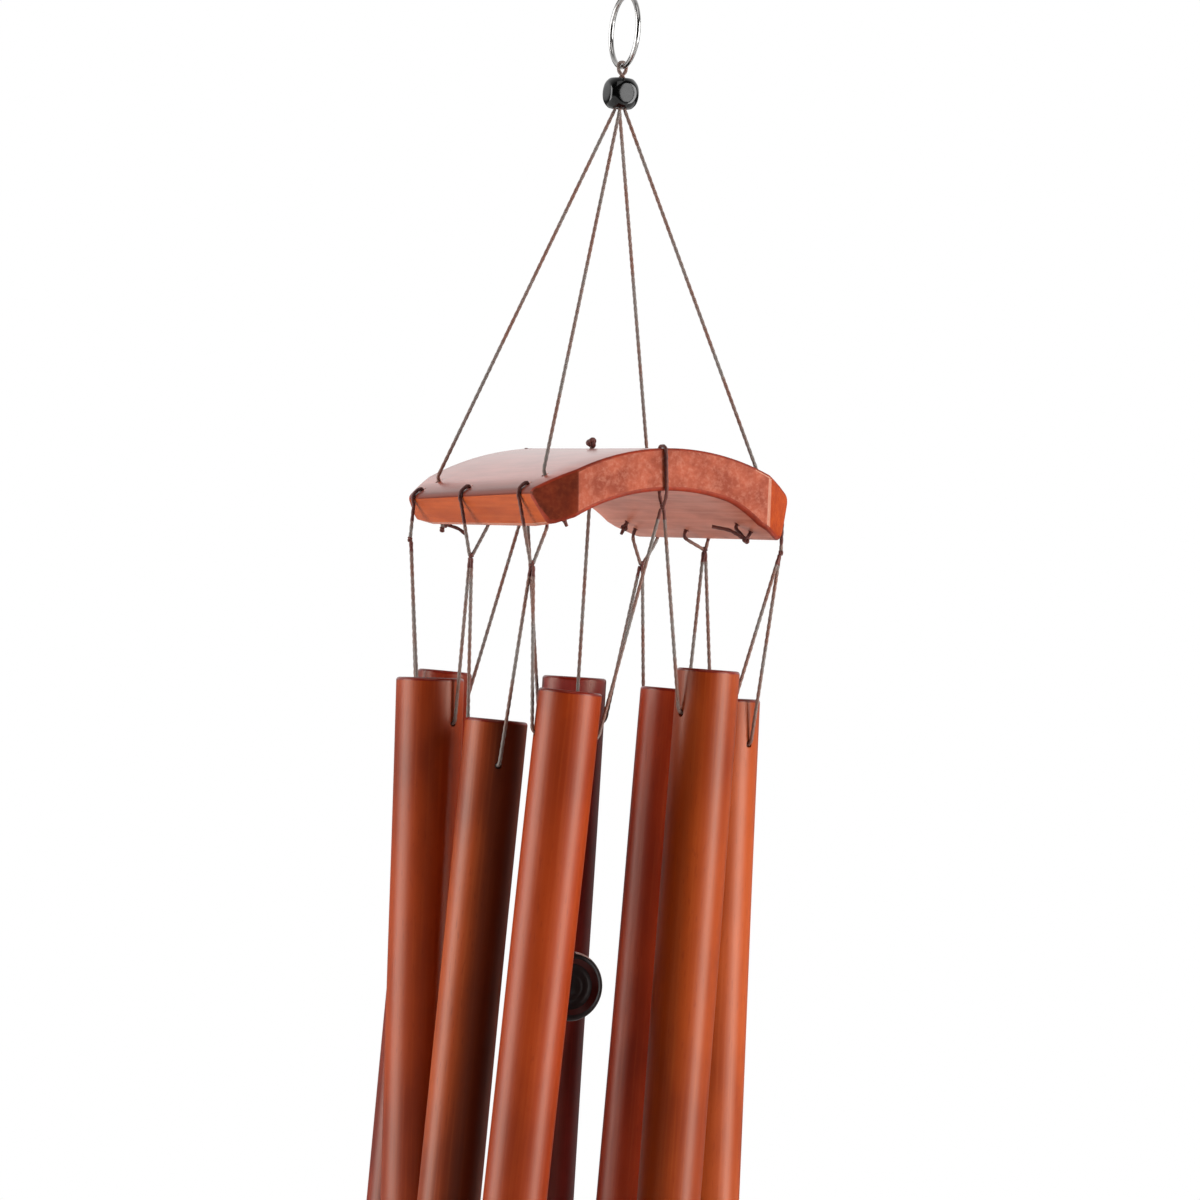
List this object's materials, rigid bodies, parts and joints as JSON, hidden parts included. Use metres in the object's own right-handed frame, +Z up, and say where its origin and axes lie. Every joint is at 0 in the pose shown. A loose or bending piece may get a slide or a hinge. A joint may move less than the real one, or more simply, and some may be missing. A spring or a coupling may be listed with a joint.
{
  "type": "bamboo wind chime",
  "caption": "Hanging wind chime: stained bamboo tubes on knotted cords under an arched bamboo plate, with a central striker drum and a wind sail, hung from a steel ring.",
  "frame": {"origin": "where a hook carries the hanging ring, at the inside top of its wire", "axes": "+Z up along the hanging line, X across the plate's arch, Y along the plate"},
  "size_m": [0.1431, 0.1314, 0.7466],
  "materials": {
    "ring": "bright steel wire",
    "bead": "glossy black",
    "plate": "satin red-brown stain on thick bamboo",
    "bamboo": "satin red-brown stain on bamboo",
    "striker": "black-brown lacquer",
    "cord": "waxed brown cord"
  },
  "bodies": {
    "ring": {"hanging_ring": "ring"},
    "tie": {"ring_tie": "cord"},
    "bead": {"gather_bead": "bead"},
    "plate": {"top_plate": "plate", "hanger_cord_1": "cord", "hanger_cord_2": "cord", "hanger_cord_3": "cord", "hanger_cord_4": "cord", "edge_loop_1": "cord", "edge_loop_2": "cord", "edge_loop_3": "cord", "edge_loop_4": "cord", "edge_loop_5": "cord", "edge_loop_6": "cord", "edge_loop_7": "cord", "edge_loop_8": "cord", "striker_top_knot": "cord"},
    "hang_1": {"bridle_1": "cord"},
    "tube_1": {"tube_1": "bamboo"},
    "hang_2": {"bridle_2": "cord"},
    "tube_2": {"tube_2": "bamboo"},
    "hang_3": {"bridle_3": "cord"},
    "tube_3": {"tube_3": "bamboo"},
    "hang_4": {"bridle_4": "cord"},
    "tube_4": {"tube_4": "bamboo"},
    "hang_5": {"bridle_5": "cord"},
    "tube_5": {"tube_5": "bamboo"},
    "hang_6": {"bridle_6": "cord"},
    "tube_6": {"tube_6": "bamboo"},
    "hang_7": {"bridle_7": "cord"},
    "tube_7": {"tube_7": "bamboo"},
    "hang_8": {"bridle_8": "cord"},
    "tube_8": {"tube_8": "bamboo"},
    "neck": {"striker_neck": "cord"},
    "striker_line": {"striker_cord": "cord", "striker": "striker"},
    "sail_line": {"sail_cord": "cord"},
    "sail": {"sail_loop": "cord", "sail": "bamboo"}
  },
  "joints": [
    {"name": "tie_slide", "type": "hinge", "parent": "ring", "child": "tie", "pos_m": [0, 0, -0.013], "axis": [0.9925, -0.1219, 0], "range_deg": [-25, 25]},
    {"name": "bead_swing", "type": "hinge", "parent": "tie", "child": "bead", "pos_m": [0, 0, -0.033], "axis": [0.1219, 0.9925, 0], "range_deg": [-20, 20]},
    {"name": "plate_twist", "type": "hinge", "parent": "bead", "child": "plate", "pos_m": [0, 0, -0.0436], "axis": [0, 0, 1], "range_deg": [-45, 45]},
    {"name": "tube_1_swing", "type": "hinge", "parent": "plate", "child": "hang_1", "pos_m": [-0.05638, 0.04586, -0.21641], "axis": [-0.0697, 0.9905, 0.1186], "range_deg": [-3, 25]},
    {"name": "tube_1_rock", "type": "hinge", "parent": "hang_1", "child": "tube_1", "pos_m": [-0.05437, 0.01726, -0.28755], "axis": [0.0702, -0.9974, 0.0157], "range_deg": [-6, 5]},
    {"name": "tube_2_swing", "type": "hinge", "parent": "plate", "child": "hang_2", "pos_m": [-0.05314, -0.00016, -0.22192], "axis": [-0.0498, 0.9978, 0.0444], "range_deg": [-3, 25]},
    {"name": "tube_2_rock", "type": "hinge", "parent": "hang_2", "child": "tube_2", "pos_m": [-0.05219, -0.01937, -0.30185], "axis": [0.0498, -0.9987, -0.014], "range_deg": [-6, 5]},
    {"name": "tube_3_swing", "type": "hinge", "parent": "plate", "child": "hang_3", "pos_m": [-0.05085, -0.04617, -0.22396], "axis": [-0.8635, 0.231, -0.4483], "range_deg": [-2, 25]},
    {"name": "tube_3_rock", "type": "hinge", "parent": "hang_3", "child": "tube_3", "pos_m": [-0.03415, -0.05063, -0.28885], "axis": [0.965, -0.2581, -0.0454], "range_deg": [-6, 1.5]},
    {"name": "tube_4_swing", "type": "hinge", "parent": "plate", "child": "hang_4", "pos_m": [-0.00257, -0.05908, -0.1989], "axis": [-0.9541, -0.202, 0.2211], "range_deg": [-3, 25]},
    {"name": "tube_4_rock", "type": "hinge", "parent": "hang_4", "child": "tube_4", "pos_m": [0.02488, -0.05327, -0.27755], "axis": [0.9782, 0.2071, -0.0122], "range_deg": [-6, 5]},
    {"name": "tube_5_swing", "type": "hinge", "parent": "plate", "child": "hang_5", "pos_m": [0.05859, -0.04613, -0.21307], "axis": [0.0998, -0.995, -0.0021], "range_deg": [-3, 25]},
    {"name": "tube_5_rock", "type": "hinge", "parent": "hang_5", "child": "tube_5", "pos_m": [0.0561, -0.02132, -0.28845], "axis": [-0.0998, 0.9949, -0.014], "range_deg": [-6, 5]},
    {"name": "tube_6_swing", "type": "hinge", "parent": "plate", "child": "hang_6", "pos_m": [0.05347, 0.00487, -0.21296], "axis": [0.1247, -0.9785, 0.164], "range_deg": [-3, 25]},
    {"name": "tube_6_rock", "type": "hinge", "parent": "hang_6", "child": "tube_6", "pos_m": [0.05101, 0.02417, -0.28615], "axis": [-0.1264, 0.9919, 0.0105], "range_deg": [-6, 4]},
    {"name": "tube_7_swing", "type": "hinge", "parent": "plate", "child": "hang_7", "pos_m": [0.04825, 0.04585, -0.21983], "axis": [0.8941, -0.2472, -0.3735], "range_deg": [-3, 25]},
    {"name": "tube_7_rock", "type": "hinge", "parent": "hang_7", "child": "tube_7", "pos_m": [0.02462, 0.05238, -0.28415], "axis": [-0.9638, 0.2665, 0], "range_deg": [-6, 5]},
    {"name": "tube_8_swing", "type": "hinge", "parent": "plate", "child": "hang_8", "pos_m": [0.00098, 0.05892, -0.20009], "axis": [0.9396, 0.2139, 0.2674], "range_deg": [-1.4, 25]},
    {"name": "tube_8_rock", "type": "hinge", "parent": "hang_8", "child": "tube_8", "pos_m": [-0.03619, 0.05046, -0.28485], "axis": [-0.9744, -0.2218, 0.0366], "range_deg": [-6, 1.5]},
    {"name": "striker_sway", "type": "hinge", "parent": "plate", "child": "neck", "pos_m": [-0.00227, -0.00006, -0.19396], "axis": [0.6428, -0.766, 0], "range_deg": [-6, 7]},
    {"name": "striker_swing", "type": "hinge", "parent": "neck", "child": "striker_line", "pos_m": [-0.00227, -0.00006, -0.19931], "axis": [0.788, 0.6157, 0], "range_deg": [-6, 7]},
    {"name": "sail_swing", "type": "hinge", "parent": "striker_line", "child": "sail_line", "pos_m": [-0.00227, -0.00006, -0.40555], "axis": [1, 0, 0], "range_deg": [-25, 25]},
    {"name": "sail_turn", "type": "hinge", "parent": "sail_line", "child": "sail", "pos_m": [-0.00227, -0.00006, -0.6435], "axis": [0, 0, 1], "range_deg": [-180, 180]}
  ]
}
